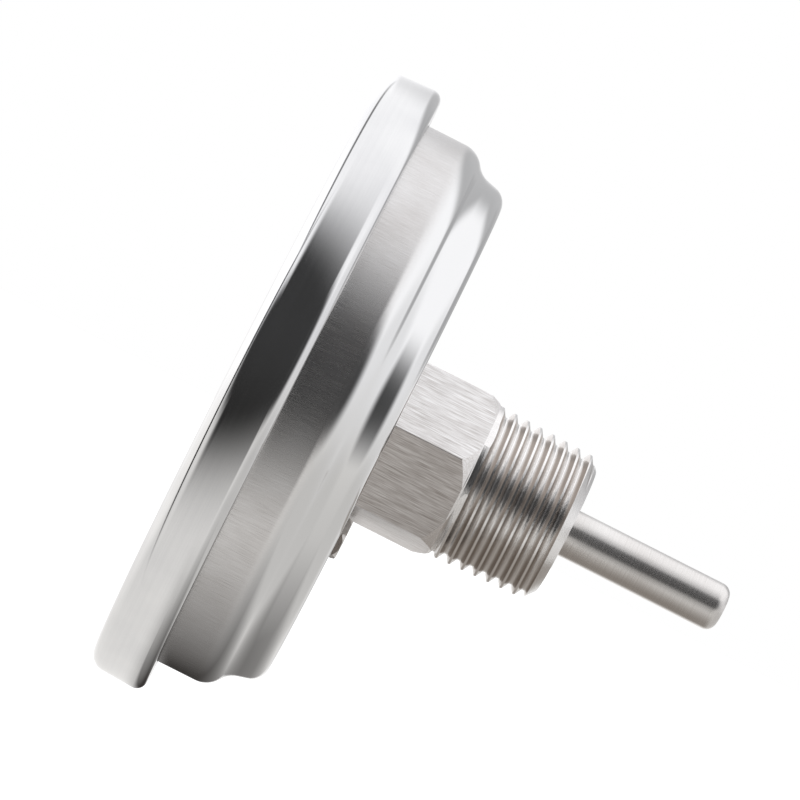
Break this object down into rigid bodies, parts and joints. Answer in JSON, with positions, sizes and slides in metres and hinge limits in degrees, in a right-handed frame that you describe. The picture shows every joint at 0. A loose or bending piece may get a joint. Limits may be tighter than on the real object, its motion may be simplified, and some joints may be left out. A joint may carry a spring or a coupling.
{
  "type": "dial thermometer",
  "caption": "Bimetal dial thermometer with a crimped round case, a hexagon back fitting with a tapered pipe thread, a short closed stem and a rear screw that trims the dial.",
  "frame": {"origin": "on the stem's axis, where the hexagon ends and the pipe thread begins", "axes": "+Y along the stem towards its tip, with the dial facing -Y; +Z towards 12 o'clock on the dial"},
  "size_m": [0.085, 0.0691, 0.085],
  "materials": {
    "polished_steel": "polished stainless steel",
    "brushed_steel": "stainless steel with fine brush marks along the axis",
    "machined_steel": "turned and drawn stainless steel with tool marks",
    "satin_steel": "satin stainless steel tube",
    "window_glass": "clear flat glass with ground edges",
    "black_rubber": "matt black rubber",
    "fibre": "red vulcanised fibre",
    "dial_face": "white enamelled aluminium with a printed scale",
    "pointer_black": "black painted aluminium",
    "brass": "turned or stamped brass",
    "spring_steel": "dark spring steel",
    "bimetal": "rolled bimetal strip"
  },
  "bodies": {
    "case": {"case_shell": "brushed_steel", "bezel_ring": "polished_steel", "window_glass": "window_glass", "window_gasket": "black_rubber", "hex_fitting": "machined_steel", "stem_tube": "satin_steel", "case_nut": "brass", "back_seal": "fibre", "dial_spring": "spring_steel", "dial_circlip": "spring_steel", "upper_bush": "brass", "lower_bush": "brass", "bimetal_helix": "bimetal", "helix_anchor": "machined_steel", "adjuster_bush": "brass", "adjuster_seal": "black_rubber"},
    "dial": {"dial_plate": "dial_face", "dial_gear": "brass", "dial_pillars": "brass", "dial_screws": "machined_steel"},
    "pointer": {"pointer": "pointer_black", "pointer_hub": "brass", "spindle": "machined_steel", "helix_collar": "machined_steel"},
    "adjuster": {"adjuster_screw": "machined_steel", "adjuster_pinion": "brass", "adjuster_clip": "spring_steel"}
  },
  "joints": [
    {"name": "pointer_sweep", "type": "hinge", "parent": "case", "child": "pointer", "pos_m": [0, 0, 0], "axis": [0, 1, 0], "range_deg": [-45, 225], "stiffness_Nm_per_rad": 0.0003, "deforming": ["bimetal_helix"]},
    {"name": "dial_trim", "type": "hinge", "parent": "case", "child": "dial", "pos_m": [0, 0, 0], "axis": [0, 1, 0], "range_deg": [-28, 28]},
    {"name": "adjuster_turn", "type": "hinge", "parent": "case", "child": "adjuster", "pos_m": [0, 0, -0.01377], "axis": [0, 1, 0], "range_deg": [-98, 98]}
  ],
  "couplings": [
    {"joint": "adjuster_turn", "follows": "dial_trim", "ratio": -3.5}
  ]
}
